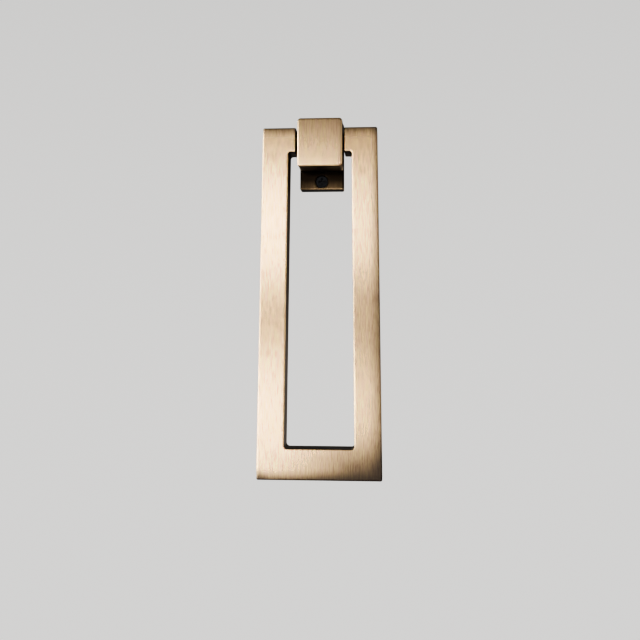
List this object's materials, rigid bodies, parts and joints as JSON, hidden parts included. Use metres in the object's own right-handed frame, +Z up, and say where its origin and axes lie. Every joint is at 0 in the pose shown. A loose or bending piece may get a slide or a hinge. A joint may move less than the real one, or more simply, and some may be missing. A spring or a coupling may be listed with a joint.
{
  "type": "door knocker",
  "caption": "Tapered rectangular ring door knocker in satin antique brass: a square-section loop swings on a pin through a cube-faced hinge block on a concealed, screwed base plate.",
  "frame": {"origin": "middle of the base plate's back face, which lies on the door", "axes": "+Z up the door, -Y out of the door towards the person who knocks, +X to that person's right"},
  "size_m": [0.0572, 0.0353, 0.1652],
  "materials": {
    "plate_brass": "brushed satin",
    "block_brass": "brushed satin",
    "loop_brass": "brushed satin",
    "plug_brass": "brushed satin",
    "button_brass": "turned satin",
    "bush_bronze": "sintered",
    "pin_steel": "ground",
    "screw_black": "black oxide",
    "washer_nylon": "matt",
    "pad_rubber": "matt"
  },
  "bodies": {
    "wall_fixing": {"base_plate": "plate_brass", "hinge_block": "block_brass", "block_grub_screw": "screw_black", "upper_mounting_screw": "screw_black", "lower_mounting_screw": "screw_black", "pivot_pin": "pin_steel", "left_thrust_washer": "washer_nylon", "right_thrust_washer": "washer_nylon"},
    "loop": {"knocker_loop": "loop_brass", "left_bush": "bush_bronze", "right_bush": "bush_bronze", "left_bore_plug": "plug_brass", "right_bore_plug": "plug_brass", "knock_button": "button_brass", "knock_pad": "pad_rubber"}
  },
  "joints": [
    {"name": "loop_swing", "type": "hinge", "parent": "wall_fixing", "child": "loop", "pos_m": [0, -0.01325, 0.0053], "axis": [-1, 0, 0], "range_deg": [0, 180]}
  ]
}
